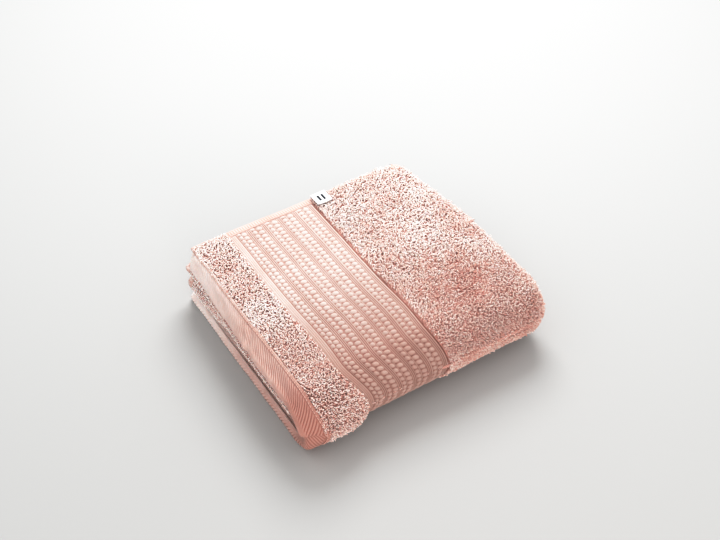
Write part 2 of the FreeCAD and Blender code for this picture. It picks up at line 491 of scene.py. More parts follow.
def twill_material():
    """Hem cloth with a fine diagonal. Its colour follows relief: painted shade in the grooves and on hidden
    faces, painted light on the ridges, and painted shade deepening towards the last fold.
    """
    m = Nodes("hem_twill_cotton", 0.85, sheen=0.04, soft=0.1)
    vector = m.attribute("weave", "Vector")
    threads = m.wave(vector, 0.9, "DIAGONAL", 0.3)
    body = m.ramp(m.attribute("relief"), (0.0, colour(186, 134, 122)), (0.5, colour(229, 217, 212)),
                  (1.0, colour(244, 239, 237)))
    m.base(body, m.deeper(vector, colour(230, 213, 209), HEM_SHADE_SPAN),
           m.deeper(vector, colour(232, 212, 206), HEM_END),
           m.ramp(threads, (0.0, colour(236, 226, 223)), (1.0, WHITE)),
           m.blotches(70, 3, colour(246, 241, 239)))
    m.rough(threads, 0.78, 0.95)
    m.bump(m.math("ADD", threads, m.noise(1800, 2)), 0.35, 0.00025)
    return m.material


def thread_material(name, dark, pale, roughness):
    """Twisted sewing thread."""
    m = Nodes(name, roughness)
    vector = m.coordinates()
    twist = m.wave(vector, 900, "DIAGONAL", 1.0)
    m.base(m.ramp(twist, (0.0, dark), (1.0, pale)),
           m.blotches(300, 2, colour(235, 235, 235)))
    m.rough(twist, roughness - 0.1, roughness + 0.1)
    m.bump(twist, 0.4, 0.0001)
    return m.material


def label_material():
    """White woven tape: a fine satin with a faint grid."""
    m = Nodes("label_tape", 0.6)
    vector = m.attribute("weave", "Vector")
    weave = m.math("MULTIPLY", m.wave(vector, 1.0, "X", 0.2), m.wave(vector, 1.4, "Y", 0.2))
    m.base(m.ramp(weave, (0.0, colour(226, 227, 230)), (0.7, colour(250, 250, 251))),
           m.blotches(200, 2, colour(242, 242, 243)))
    m.rough(weave, 0.5, 0.75)
    m.bump(weave, 0.4, 0.00015)
    return m.material


terry, ground_weave, dobby, twill = terry_material(), ground_material(), dobby_material(), twill_material()
pink_thread = thread_material("pink_thread", colour(214, 170, 158), colour(247, 220, 211), 0.6)
grey_thread = thread_material("grey_thread", colour(38, 42, 47), colour(74, 79, 86), 0.55)
tape = label_material()

# ---------------------------------------------------------------- pile


def curly(v):
    """1 where the pile is open and curly, 0 where it is fine and dense."""
    return 1 - 0.85 * smooth((v - 100) / 80)


def pile(name, half, u_span, v_span, cell, seed, side=1, tall=1.0, steps=LOOP_STEPS, flat=False, keep=None,
         replaces=(), pressed=False):
    """Terry loops on one face of the cloth, as closed tubes, one to a cell. Pressed pile is dense and even,
    with painted light that makes its loops paler.
    """
    r = np.random.default_rng(seed)
    count_u = max(1, round((u_span[1] - u_span[0]) / cell))
    count_v = max(1, round((v_span[1] - v_span[0]) / cell))
    u, v = np.meshgrid((np.arange(count_u) + 0.5) / count_u, (np.arange(count_v) + 0.5) / count_v)
    u = (u.ravel() + r.uniform(-0.5, 0.5, u.size) / count_u) * (u_span[1] - u_span[0]) + u_span[0]
    v = (v.ravel() + r.uniform(-0.5, 0.5, v.size) / count_v) * (v_span[1] - v_span[0]) + v_span[0]
    open_pile = curly(v) * (not pressed)
    chosen = r.random(u.size) > 0.16 * open_pile
    if keep is not None:
        chosen &= keep(u, v)
    u, v, open_pile = u[chosen], v[chosen], open_pile[chosen]
    n = u.size
    t, arch = arc_steps(steps)
    heading = r.uniform(0, 2 * math.pi, n)
    span = (r.uniform(1.1, 1.8, n) + open_pile * r.uniform(0.2, 1.0, n))[:, None]
    rise = tall * PILE * (r.uniform(0.78, 1.08, n) + 0.12 * bunch(u, v) + 0.1 * open_pile * r.uniform(-1, 1, n))
    # A few loops stand out above the others.
    rise = (rise * (1 + 0.3 * (r.random(n) < 0.07)))[:, None]
    curl = (r.normal(0, 0.35, n) * (1 + open_pile))[:, None]
    lean_size = 0.5 + 0.9 * open_pile
    lean_u = (lean_size * (r.normal(0, 0.7, n) + 0.8 * comb_u(u, v)))[:, None]
    lean_v = (lean_size * (r.normal(0, 0.7, n) + 0.8 * comb_v(u, v)) - 1.4 * smooth((9 - v) / 5))[:, None]
    run = span * (t - 0.5) * (1 + 0.45 * arch)
    turn = curl * np.sin(2 * math.pi * t)
    cos, sin = np.cos(heading)[:, None], np.sin(heading)[:, None]
    line_u = u[:, None] + run * cos - turn * sin + lean_u * arch**2
    line_v = v[:, None] + run * sin + turn * cos + lean_v * arch**2
    height = side * (0.3 + rise * arch**0.8)
    lines = cloth(line_u, line_v, height, half, flat)
    if half < 0:
        off_floor(lines, PILE_CLEAR)
    out = cloth(u, v, side * 1.5, half, flat) - cloth(u, v, 0.0, half, flat)
    yarn = (0.33 + 0.05 * open_pile + r.uniform(-0.03, 0.04, n))[:, None]
    points, faces = tubes(lines, yarn * (1 - 0.12 * (1 - arch)), facing(lines, out))
    # Tone differs at random from loop to loop; pressed loops are painted paler, painted light on loops that lie
    # in shade under the hem.
    tone = 0.74 + 0.2 * pressed + 0.32 * r.uniform(-1, 1, n) + 0.25 * patch_tone(u, v) + 0.12 * bunch(v, u)
    # Painted shade: the loops get darker towards the last fold.
    tone = np.clip(tone - 0.38 * smooth((v - FOLD_SHADE_SPAN[0]) / (FOLD_SHADE_SPAN[1] - FOLD_SHADE_SPAN[0])), 0, 1)
    return piece(name, points, faces, BODY[half], "terry", terry, replaces, **loop_marks(arch, tone))


# ---------------------------------------------------------------- ground cloth


def spaced(*stops):
    """Places along a line: (place, step from there on), ..., (last place, None)."""
    out = []
    for (a, step), (b, _) in zip(stops, stops[1:]):
        out.append(np.linspace(a, b, max(1, round((b - a) / step)) + 1)[:-1])
    return np.concatenate([*out, [stops[-1][0]]])


def closed_sheet(name, upper, lower, body, slot, material, replaces=(), **attributes):
    """A sheet with thickness from two grids of points (rows, columns, 3)."""
    rows, columns = upper.shape[:2]
    count = rows * columns
    top = grid(rows, columns)
    index = np.arange(count).reshape(rows, columns)
    rim = np.concatenate([index[0], index[1:, -1], index[-1, -2::-1], index[-2:0:-1, 0]])
    following = np.roll(rim, -1)
    wall = np.stack([rim, rim + count, following + count, following], -1)
    points = np.concatenate([upper.reshape(-1, 3), lower.reshape(-1, 3)])
    double = {key: np.concatenate([value, value]) for key, value in attributes.items()}
    return piece(name, points, [top, top[:, ::-1] + count, wall], body, slot, material, replaces, **double)


def ground_cloth(half):
    """One woven ground that runs through all four layers of the half."""
    name = HALF_NAME[half]
    u = spaced((STRIP_START + 1, 3.6), (RUNS[1], 1.7), (RUNS[2], 3.6), (RUNS[3], 1.1), (RUNS[4], 3.6),
               (RUNS[5], 1.1), (RUNS[6], 3.6), (RUNS[7] - GROUND_END, None))
    x, s = profile(u, 0.0)
    inner = smooth((x - 12) / 8) * smooth((FAR - 2 - x) / 8) * (s < 3.2 * LAYER)
    meets = np.arccos(np.clip(1.15 * LAYER / np.maximum(s, 1), 0, 1)) * HALF
    end = np.where(inner > 0, V_HINGE * (1 - inner) + (V_FLAT + meets) * inner, V_HINGE)
    share = spaced((0, 0.02), (0.78, 0.012), (1, None))
    v = SIDE_HEM - 1 + share[None] * (end[:, None] - SIDE_HEM + 1)
    uu = np.broadcast_to(u[:, None], v.shape)
    return closed_sheet(name + "ground", cloth(uu, v, GROUND, half), cloth(uu, v, -GROUND, half),
                        BODY[half], "terry", ground_weave,
                        [name + "inner_terry_field", name + "inner_pile_strip"], weave=weave_map(uu, v))


def lining(half):
    """The layer at the middle plane goes on flat to the last fold, so it is whole when the towel is opened."""
    u = spaced((RUNS[2] + 3, 4), (RUNS[3] - 6, None))
    v = spaced((V_FLAT - 3, 3), (V_FLAT + HALF - 3.6, None))
    uu, vv = np.meshgrid(u, v, indexing="ij")
    return closed_sheet(HALF_NAME[half] + "lining", cloth(uu, vv, GROUND - 0.1, half, True),
                        cloth(uu, vv, 0.1 - GROUND, half, True), BODY[half], "terry", ground_weave,
                        weave=weave_map(uu, vv))


def fold_end(half):
    """Cloth over the end of the far fold, where it meets the other half at the last fold. It shows only when
    the towel is opened."""
    r = np.random.default_rng(31 + half)
    name = HALF_NAME[half]
    radius, centre = OUTER_R + 2.6, 2 * LAYER
    out, angle = np.meshgrid(np.linspace(0, 1, 9), np.linspace(-90, 90, 25) * math.pi / 180)

    def at(out, angle, s):
        x = FAR - 2 + (radius + 2) * out * np.cos(angle)
        v = V_FLAT + centre + radius * out * np.sin(angle)
        return place(x, v, s, half, 0.0, True)

    cover = closed_sheet(name + "fold_end", at(out, angle, 0.9), at(out, angle, 2.3), BODY[half],
                         "terry", ground_weave, weave=weave_map(30 * out, 30 * angle))
    n = 420
    out, angle = np.sqrt(r.random(n))[:, None], r.uniform(-1.5, 1.5, n)[:, None]
    t, arch = arc_steps(LOOP_STEPS)
    heading = r.uniform(0, 2 * math.pi, n)[:, None]
    lines = at(out + 0 * t, angle + 0 * t, 2.0 - 3.2 * arch**0.8)
    lines[..., 0] += 2.2 * (t - 0.5) * np.cos(heading)
    lines[..., 1] += 2.2 * (t - 0.5) * np.sin(heading)
    across = np.concatenate([-np.sin(heading), np.cos(heading), 0 * heading], 1)
    points, faces = tubes(lines, 0.36, across)
    loops = piece(name + "fold_end_pile", points, faces, BODY[half], "terry", terry,
                  **loop_marks(arch, r.uniform(0.0, 0.6, n)))
    return cover, loops


def crease():
    """Terry across the last fold between the two linings. It lies doubled inside the closed towel."""
    r = np.random.default_rng(51)
    angle = np.linspace(-90, 90, 9) * math.pi / 180
    leaf = np.linspace(-CREASE_LEAF, 0, 5)[:-1]
    deep = np.concatenate([leaf, CREASE_R * np.cos(angle), leaf[::-1]])
    level = np.concatenate([0 * leaf - CREASE_R, CREASE_R * np.sin(angle), 0 * leaf + CREASE_R])
    path = np.stack([deep, level], -1)
    along = unit(np.gradient(path, axis=0))

    def turn_at(x):
        """It lies deeper where the border is, because the border is thinner than the pile."""
        border = smooth((x - BORDER_START + 5) / 4) * smooth((BORDER_END + 5 - x) / 4)
        return V_FLAT + HALF - CREASE_DEPTH * (1 + border)

    ends = LAYER + 8, FAR + 4
    x = spaced((ends[0], 2.4), (ends[1], None))[:, None]
    sides = [place(x, turn_at(x) + deep + out * along[:, 1], level - out * along[:, 0], 1, 0, True)
             for out in (0.3, -0.3)]
    cloth_strip = closed_sheet("fold_crease", *sides, CREASE, "terry", ground_weave,
                               weave=weave_map(x, 3 * np.arange(len(deep))))
    n = 2600
    t, arch = arc_steps(LOOP_STEPS)
    x = r.uniform(*ends, n)[:, None]
    turned = CREASE_R * math.pi / 2
    along = r.uniform(-CREASE_LEAF - turned, CREASE_LEAF + turned, n)[:, None]
    bent = np.clip(along / CREASE_R, -math.pi / 2, math.pi / 2)
    foot = turn_at(x) + CREASE_R * np.cos(bent) - np.maximum(np.abs(along) - turned, 0)
    lean = r.normal(0, 0.9, n)[:, None] * arch
    rise = 0.75 * arch**0.8
    s = (CREASE_R - rise) * np.sin(bent)
    lines = place(x + 1.8 * (t - 0.5) + lean, foot - rise * np.cos(bent) + lean[:, ::-1], s, 1, 0, True)
    points, faces = tubes(lines, 0.34, np.tile([0.0, 0.0, 1.0], (n, 1)))
    loops = piece("fold_crease_pile", points, faces, CREASE, "terry", terry,
                  **loop_marks(arch, r.uniform(0.0, 0.7, n), 0.8))
    return cloth_strip, loops


# ---------------------------------------------------------------- dobby border

BEAD_PITCH = 5.6
BORDER_WIDTH = BORDER_END - BORDER_START
# The pattern is drawn on a border of this width, and fitted to the frame's.
DRAWN_WIDTH = 93
# Columns of beads, as distances from the border's outer edge: (centre, width)
BEADS = [(10.5, 3.7), (15.1, 5.2), (25.0, 4.3), (31.2, 5.8), (41.6, 4.3), (48.0, 5.8), (58.4, 4.5),
         (65.3, 6.0), (76.7, 4.7), (83.0, 5.2)]
# Grooves: (centre, width, depth)
GROOVES = [(1.6, 0.35, 0.45), (3.4, 0.35, 0.45), (5.2, 0.35, 0.45), (7.6, 0.5, 0.7), (92.2, 0.9, 0.8)]
GROOVES += [(start + 1.75 * line, 0.4, 0.75) for start in (18.0, 34.3, 51.2, 68.8, 86.0) for line in range(3)]


def dobby_relief(x, v):
    """Height of the border's face above its lowest place, in mm."""
    height = np.full(x.shape, 1.0)
    for centre, width, depth in GROOVES:
        height -= depth * bell(x - centre, width)
    for number, (centre, width) in enumerate(BEADS):
        near = np.abs(x - centre) < 0.6 * width
        row = (v - V_HINGE) / BEAD_PITCH + 0.5 * (number % 2)
        k = np.round(row)
        jitter = np.sin(k * 12.9898 + number * 78.233) * np.minimum(np.abs(k), 1)
        q = (row - k - 0.02 * jitter) / (0.43 + 0.015 * jitter)
        p = (x - centre - 0.10 * jitter) / (0.52 * width)
        dome = np.clip(1 - np.abs(p) ** 2.1 - np.abs(q) ** 2.0 + 0.25 * p * q, 0, 1) ** 0.75
        gap = 0.25 * bell(np.abs(row - k) - 0.5, 0.1) * bell(p + 0.4, 0.6)
        height = np.where(near, 0.6 + 1.25 * dome * (1 + 0.08 * jitter) - gap, height)
    return height


def border_columns(fine):
    """Columns of points across the border, closer where the face is rich."""
    return spaced((0, 0.5 / fine), (7.5, 0.37 / fine), (DRAWN_WIDTH, None)) * BORDER_WIDTH / DRAWN_WIDTH


def dobby_border(half):
    """The border on the outside of the stack, with its beads and grooves as geometry."""
    name = HALF_NAME[half]
    a = border_columns(1.0 if half > 0 else 0.82)
    v = spaced((SIDE_HEM - 0.5, 0.85 if half > 0 else 1.1), (V_FLAT, 0.75), (V_HINGE, None))
    aa, vv = np.meshgrid(a, v)
    relief = dobby_relief(aa, vv)
    fade = smooth(aa / 1.2) * smooth((a[-1] - aa) / 1.0) * smooth((vv - v[0]) / 2.5)
    level = 3 * LAYER + 5.05 + relief * (0.35 + 0.65 * fade)
    x = BORDER_START + aa
    shift = wander_along(x, half)
    top = place(x, vv, level, half, shift)
    if half < 0:
        off_floor(top, BORDER_CLEAR)
    rows, columns = aa.shape
    index = np.arange(rows * columns).reshape(rows, columns)
    # The hidden underside: coarse columns, with the end walls as many-cornered faces that meet it.
    coarse = np.unique(np.linspace(0, columns - 1, 10).round().astype(int))
    below = place(x[:, coarse], vv[:, coarse], 3 * LAYER + 3.4, half, shift[:, coarse])
    under = rows * columns + np.arange(rows * len(coarse)).reshape(rows, -1)
    faces = [grid(rows, columns), grid(rows, len(coarse))[:, ::-1] + rows * columns]
    for edge, c in ((0, 0), (-1, -1)):
        wall = np.stack([index[:-1, edge], index[1:, edge], under[1:, c], under[:-1, c]], -1)
        faces.append(wall[:, ::-1] if edge == 0 else wall)
    for end in (0, -1):
        for c, (i0, i1) in enumerate(zip(coarse, coarse[1:])):
            wall = np.concatenate([index[end, i0:i1 + 1], [under[end, c + 1], under[end, c]]])
            faces.append((wall if end else wall[::-1])[None])
    weave = np.concatenate([weave_map(aa, vv), np.zeros((below.size // 3, 3))])
    shade = np.concatenate([np.clip(relief.ravel() / 1.6, 0, 1), np.full(below.size // 3, 0.7)])
    return piece(name + "border", np.concatenate([top.reshape(-1, 3), below.reshape(-1, 3)]), faces,
                 BODY[half], "dobby_weave", dobby, [name + "dobby_border"], relief=shade, weave=weave)


def inner_border(half):
    """The border of the towel's other end, in the second layer, with its beads facing in."""
    name = HALF_NAME[half]
    a = border_columns(0.42)
    v = spaced((SIDE_HEM - 0.5, 2.0), (V_FLAT + 1.1 * HALF, None))
    aa, vv = np.meshgrid(a, v)
    relief = dobby_relief(aa, vv)
    u = RUNS[7] - (BORDER_START + aa - INNER_HEM_START)
    # relief colours the border: painted shade in its grooves, painted light on its beads.
    return closed_sheet(name + "inner_border", cloth(u, vv, 0.9 + 0.8 * relief, half),
                        cloth(u, vv, -1.1 + 0 * relief, half), BODY[half], "dobby_weave", dobby,
                        [name + "inner_dobby_border"], relief=np.clip(relief.ravel() / 1.9, 0, 1),
                        weave=weave_map(aa, vv))


# ---------------------------------------------------------------- hems


def sweep(name, rings, body, relief, weave, replaces):
    """A closed bar of hem cloth from rings of points (rings, points in a ring, 3), with both ends closed."""
    count, size = rings.shape[:2]
    ends = np.arange(size)
    faces = [grid(count, size, closed=True), ends[::-1][None], (ends + (count - 1) * size)[None]]
    return piece(name, rings, faces, body, "hem_twill", twill, replaces,
                 relief=np.ravel(relief), weave=weave)


HEM_WIDTH = 19.5
# The hem hangs from this far in from its stitched edge.
HEM_LEAD = 2.0
STITCH_PITCH, STITCH_LENGTH, STITCH_COLUMN = 3.0, 2.3, 2.05
pucker_wide, pucker_small = lattice(12, 26, 9), lattice(13, 7, 6)


def hem_frame(v, half):
    """How the outer hem hangs: its tilt, where its stitched edge is, how flat it lies, and how far it is
    underneath. It slopes on top of the stack, and flattens out on the way round to the underside."""
    phi = np.clip((v - V_FLAT) / HALF, 0, math.pi / 2)
    total = phi if half > 0 else math.pi - phi
    flat = smooth((total / math.pi - 0.2) / 0.6)
    tilt = np.radians(62 - 13 * smooth((v - 30) / 120) * (half > 0)) * (1 - flat)
    corner = (1 - smooth(v / 13)) * (half > 0)
    under = smooth(2 * flat - 1) * (half < 0)
    return tilt, 8.8 + 9.0 * flat - 4.8 * under + 4.0 * corner, 29.9 + 2.0 * flat - 3.0 * corner, flat, under


def end_hem(half):
    """The outer end hem, with its row of lockstitch."""
    name = HALF_NAME[half]
    v = spaced((0.4, 0.55), (V_HINGE, None))
    across = spaced((0, 0.5), (HEM_WIDTH, None))
    tilt, x0, s0, flat, under = hem_frame(v, half)
    bend = np.interp(across, (0, 1.6, 4, HEM_WIDTH), (-0.45, -0.25, 0.0, 0.06))
    angle = np.clip(tilt[:, None] + bend[None] * (1 - flat[:, None]), 0, None)
    # Underneath, the free edge turns up against the face of the stack.
    angle = angle + np.radians(125) * smooth((across - HEM_WIDTH + 8.5) / 6.5)[None] * under[:, None]
    step = np.diff(across, prepend=0)
    dx, ds = np.cumsum(np.cos(angle) * step, 1), np.cumsum(np.sin(angle) * step, 1)
    lead = np.argmin(abs(across - HEM_LEAD))
    x = x0[:, None] - dx + dx[:, lead:lead + 1]
    s = s0[:, None] - ds + ds[:, lead:lead + 1]
    vv, ww = np.meshgrid(v, across, indexing="ij")
    seam = 0.5 * bell(ww - 1.2, 0.75) - 0.7 * bell(ww - 2.9, 0.7)
    notch = 0.10 * np.cos(vv * 2 * math.pi / 3.0) * bell(ww - 2.3, 0.7)
    near = smooth((vv - 70) / 110)
    rib = (0.17 + 0.13 * near + 0.05 * (half < 0)) * np.cos((vv - 1.6 * ww) * 2 * math.pi / 4.0)
    rib = rib * smooth((ww - 3.2) / 1.2) * smooth((HEM_WIDTH - 1.5 - ww) / 2.5)
    pucker = 0.8 * pucker_wide(vv, ww) + 0.5 * pucker_small(vv - 0.7 * ww, ww)
    pucker *= smooth((ww - 2) / 5) * (0.4 + 0.6 * (half > 0))
    lump = 1.0 * bell(vv - 113 - 0.6 * ww, 3.0)
    lump -= 0.8 * bell(vv - 120 - 0.6 * ww, 2.6)
    lump *= smooth((ww - 3) / 3) * (half > 0)
    roll = 1.7 * near * smooth((ww - HEM_WIDTH + 6.5) / 5) * (half > 0)
    thick = 1.35 * smooth((ww + 0.9) / 1.5) + roll
    puff = 0.75 * np.sin(math.pi * np.clip((ww - 3) / (HEM_WIDTH - 3), 0, 1)) ** 0.8
    upper = thick + seam + notch + rib + pucker + lump + puff
    lower = -thick + pucker
    normal_x, normal_s = -np.sin(angle), np.cos(angle)
    over_x, over_s = x + upper * normal_x, s + upper * normal_s
    under_x, under_s = x + lower * normal_x, s + lower * normal_s
    # The free edge is the rounded fold of the hem.
    tip = np.array([60, 20, -20, -60]) * math.pi / 180
    centre = pucker[:, -1:] + lump[:, -1:]
    reach, climb = (1.5 + roll[:, -1:]) * np.cos(tip)[None], (1.35 + roll[:, -1:]) * np.sin(tip)[None]
    edge_x = x[:, -1:] - reach * np.cos(angle[:, -1:]) + (centre + climb) * normal_x[:, -1:]
    edge_s = s[:, -1:] - reach * np.sin(angle[:, -1:]) + (centre + climb) * normal_s[:, -1:]
    ring_x = np.concatenate([over_x, edge_x, under_x[:, ::-1]], 1)
    ring_s = np.concatenate([over_s, edge_s, under_s[:, ::-1]], 1)
    ring_v = np.broadcast_to(v[:, None], ring_x.shape)
    swing = 1.0 * edge_wide(ring_v, 7 * half) * smooth(ring_v / 30)
    centre_x, centre_s = ring_x.mean(1, keepdims=True), ring_s.mean(1, keepdims=True)
    # The hem gets rounder and thinner over its last 8 mm at the back.
    round_off = 1 - 0.7 * (1 - np.sqrt(np.clip(1 - np.clip(1 - ring_v / 8, 0, 1) ** 2, 0, 1)))
    ring_x = centre_x + (ring_x - centre_x) * round_off
    ring_s = centre_s + (ring_s - centre_s) * round_off
    shift = 1.2 * edge_small(0, 55 * half)
    points = place(ring_x + 0.5 * swing, ring_v, np.minimum(ring_s, HALF - 0.2), half, shift)
    if half < 0:
        off_floor(points, HEM_CLEAR)
    # Painted shade and light: darker in the rib and seam grooves, towards the last fold and on the underside,
    # paler on the ridges, and a painted highlight on the rounded free edge.
    shade = 0.74 - 0.2 * near + 1.3 * rib + 0.2 * seam
    shade = np.concatenate([shade, 0.95 + 0 * edge_x, 0.45 + 0 * under_x], 1)
    ring_w = np.concatenate([ww, np.full(edge_x.shape, HEM_WIDTH + 1), 2 * HEM_WIDTH - ww[:, ::-1]], 1)
    hem = sweep(name + "hem", points, BODY[half], np.clip(shade, 0, 1), weave_map(ring_w, ring_v),
                [name + "end_hem"])

    # Lockstitch along the seam: short slanting stitches of thread that sink at their ends.
    first = np.arange(2.0, V_HINGE - 2, STITCH_PITCH)
    t, arch = arc_steps(5)
    sv = first[:, None] + STITCH_LENGTH * t
    column = STITCH_COLUMN + 0.25 * (t - 0.5)
    tilt_s, x_s, s_s, flat_s, _ = hem_frame(sv, half)
    off = 1.35 + 0.42 * arch
    lean = np.clip(tilt_s - 0.2 * (1 - flat_s), 0, None)
    px = x_s - (column - HEM_LEAD) * np.cos(lean) - off * np.sin(lean)
    ps = s_s - (column - HEM_LEAD) * np.sin(lean) + off * np.cos(lean)
    swing_s = 1.0 * edge_wide(sv, 7 * half) * smooth(sv / 30)
    lines = place(px + 0.5 * swing_s, sv, np.minimum(ps, HALF - 0.3), half, shift)
    if half < 0:
        off_floor(lines, STITCH_CLEAR)
    points, faces = tubes(lines, 0.34, facing(lines, np.array([[-0.4, 0, 0.9 * half]])), 5)
    stitches = piece(name + "hem_stitches", points, faces, BODY[half], "thread", pink_thread,
                     [name + "hem_stitching"])
    return hem, stitches


def both_faces(across, height):
    """A ring round a hem, from the places across it and heights of its upper face."""
    return np.array(across + across[::-1]), np.array(height + [-h for h in height[::-1]])


def inner_hem(half):
    """The hem of the towel's other end, set back in the second layer."""
    name = HALF_NAME[half]
    v = spaced((0.6, 0.8), (V_HINGE, None))
    wide = INNER_HEM_END - INNER_HEM_START
    across, thick = both_faces([wide + 1.5, 6, 3.5, 2, 1, 0.3, 0], [0.9, 1.25, 1.35, 1.35, 1.2, 0.8, 0.3])
    vv, ww = np.meshgrid(v, across, indexing="ij")
    rib = 0.1 * np.cos((vv - 0.9 * ww) * 2 * math.pi / 1.75) * (ww > 0.5)
    pucker = 0.5 * pucker_wide(vv + 60, ww)
    x = INNER_HEM_START + ww + 0.8 * edge_wide(vv, 20 * half)
    s = 2.5 * LAYER + thick[None] + np.sign(thick)[None] * rib + pucker
    if half < 0:
        forward = np.clip(1 - (x - INNER_HEM_START) / 12, 0, 1) * smooth(vv / 40)
        x, s = x - 4.0 * forward, s + 1.5 * forward
    x, s = slump(x, vv, s, half)
    points = place(x, vv, s, half, 1.0 * edge_small(3, 55 * half))
    # Colour from the ribs: painted shade in their grooves, painted light on their ridges.
    return sweep(name + "inner_hem", points, BODY[half], np.clip(0.55 + 3 * rib, 0, 1),
                 weave_map(ww, vv), [name + "inner_end_hem"])


def side_hem(half):
    """Side hem: the cloth's edge, turned and stitched, along all four layers at the back."""
    name = HALF_NAME[half]
    start = STRIP_START if half > 0 else BASE_HEM_END
    u = spaced((start, 1.3), (RUNS[1], 1.2), (RUNS[2], 1.3), (RUNS[3], 0.7), (RUNS[4], 1.3), (RUNS[5], 0.7),
               (RUNS[6], 1.3), (RUNS[7] - 2.5, None))
    v, h = both_faces([9.6, 8.6, 7.9, 7.2, 5, 2.4, 1.0, 0.25, 0],
                      [0.8, 1.0, 0.85, 1.3, 1.55, 1.5, 1.2, 0.8, 0.25])
    uu, vv = np.meshgrid(u, v, indexing="ij")
    rib = 0.1 * np.cos((uu + 0.8 * vv) * 2 * math.pi / 2.6) * ((vv > 0.6) & (vv < 7))
    pucker = 0.28 * pucker_small(uu, vv) + 0.35 * pucker_wide(uu, 2 * vv)
    hh = h[None] + np.sign(h)[None] * rib
    points = cloth(uu, vv + 0.4 * pucker, hh + pucker * (vv < 8), half)
    # Colour from the ribs: painted shade in their grooves, painted light on their ridges.
    hem = sweep(name + "side_hem_strip", points, BODY[half], np.clip(0.34 + 2 * rib, 0, 1),
                weave_map(uu, vv), [name + "side_hem"])

    # The lockstitch shows on both faces.
    first = np.arange(start + 1, RUNS[7] - 6, STITCH_PITCH)
    t, arch = arc_steps(4)
    su = first[:, None] + STITCH_LENGTH * t
    sv = 7.9 + 0.2 * (t - 0.5) + 0 * su
    lift = 0.28 * pucker_small(su, sv) + 0.35 * pucker_wide(su, 2 * sv)
    both = []
    for side in (1, -1):
        lines = cloth(su, sv, side * (1.05 + 0.35 * arch) + lift, half)
        out = cloth(su[:, 0], sv[:, 0], side * 1.0, half) - cloth(su[:, 0], sv[:, 0], 0.0, half)
        both.append((lines, facing(lines, out)))
    points, faces = tubes(np.concatenate([b[0] for b in both]), 0.3, np.concatenate([b[1] for b in both]))
    stitches = piece(name + "side_stitches", points, faces, BODY[half], "thread", pink_thread,
                     [name + "side_hem_stitching"])
    return hem, stitches


# ---------------------------------------------------------------- label


def tape_strip(name, path, x_low, x_high, body, replaces, sag):
    """Woven tape 0.3 mm thick that follows path (y, z) from edge to edge of its width."""
    path = np.asarray(path, float)
    columns = np.linspace(x_low, x_high, 25)
    along = unit(np.gradient(path, axis=0))
    normal = np.stack([-along[:, 1], along[:, 0]], -1)
    length = np.concatenate([[0], np.cumsum(np.linalg.norm(np.diff(path, axis=0), axis=1))])
    grids = []
    for offset in (0.14, -0.14):
        y = (path[:, 0] + offset * normal[:, 0])[:, None] + 0 * columns
        z = (path[:, 1] + offset * normal[:, 1])[:, None] + sag(columns[None], path[:, :1])
        grids.append(np.stack([np.broadcast_to(columns, y.shape), y, z], -1))
    return closed_sheet(name, *grids, body, "label_weave", tape, replaces,
                        weave=weave_map(columns[None], length[:, None]))


def make_label():
    """The flap of doubled tape with a plain motif, and the end of the tape that is sewn down."""
    y1, y0 = label_high[1], label_low[1]
    low, high = label_low[2] + 0.15, label_high[2] - 0.15
    centre_x = (label_low[0] + label_high[0]) / 2

    def sag(x, y):
        """The free end isn't quite flat."""
        free = smooth((y1 - y) / 16)
        middle = (x - centre_x) / 8
        return free * (0.45 * middle**2 + 0.5 * (1 - middle) * 0.3) + 0.08 * np.sin(x * 1.1 + y * 0.6) * free

    out = np.linspace(y1, y0 + 0.4, 24)
    turn = np.linspace(-90, -270, 7)[1:-1] * math.pi / 180
    middle = (low + high) / 2
    radius = (high - low) / 2
    bend = np.stack([y0 + 0.4 + radius * np.cos(turn), middle + radius * np.sin(turn)], -1)
    path = np.concatenate([np.stack([out, np.full(24, low)], -1), bend,
                           np.stack([out[::-1], np.full(24, high)], -1)])
    flap = tape_strip("label_flap_tape", path, label_low[0], label_high[0], "label_flap", ["label"], sag)

    # A plain woven motif: two short bars of satin stitch.
    lines = []
    for bar in (-2.3, 2.3):
        for i in range(13):
            x = centre_x + bar + np.linspace(-1.05, 1.05, 5)
            y = np.full(5, (y0 + y1) / 2 - 3.6 + i * 0.6)
            z = high + 0.16 + 0.16 * np.sin(np.linspace(0, math.pi, 5)) + sag(x, y)
            lines.append(np.stack([x, y, z], -1))
    points, faces = tubes(np.array(lines), 0.26, np.tile([0.0, 1.0, 0.0], (len(lines), 1)), 6)
    motif = piece("label_motif", points, faces, "label_flap", "label_weave", grey_thread)

    # The sewn end climbs from the side hem to where the flap turns.
    foot = root_low[2] - 0.6
    t = np.linspace(0, 1, 14)
    path = np.stack([root_low[1] + 0.75 - 1.6 * (1 - t) ** 2 + 0.5 * np.sin(math.pi * t),
                     foot + (root_high[2] + 0.05 - foot) * t], -1)
    sewn = tape_strip("label_sewn_end", path, label_low[0] + 0.1, label_high[0] - 0.1, "upper_half",
                      ["label_root"], lambda x, y: 0 * x * y)
    return flap, motif, sewn


# ---------------------------------------------------------------- the towel

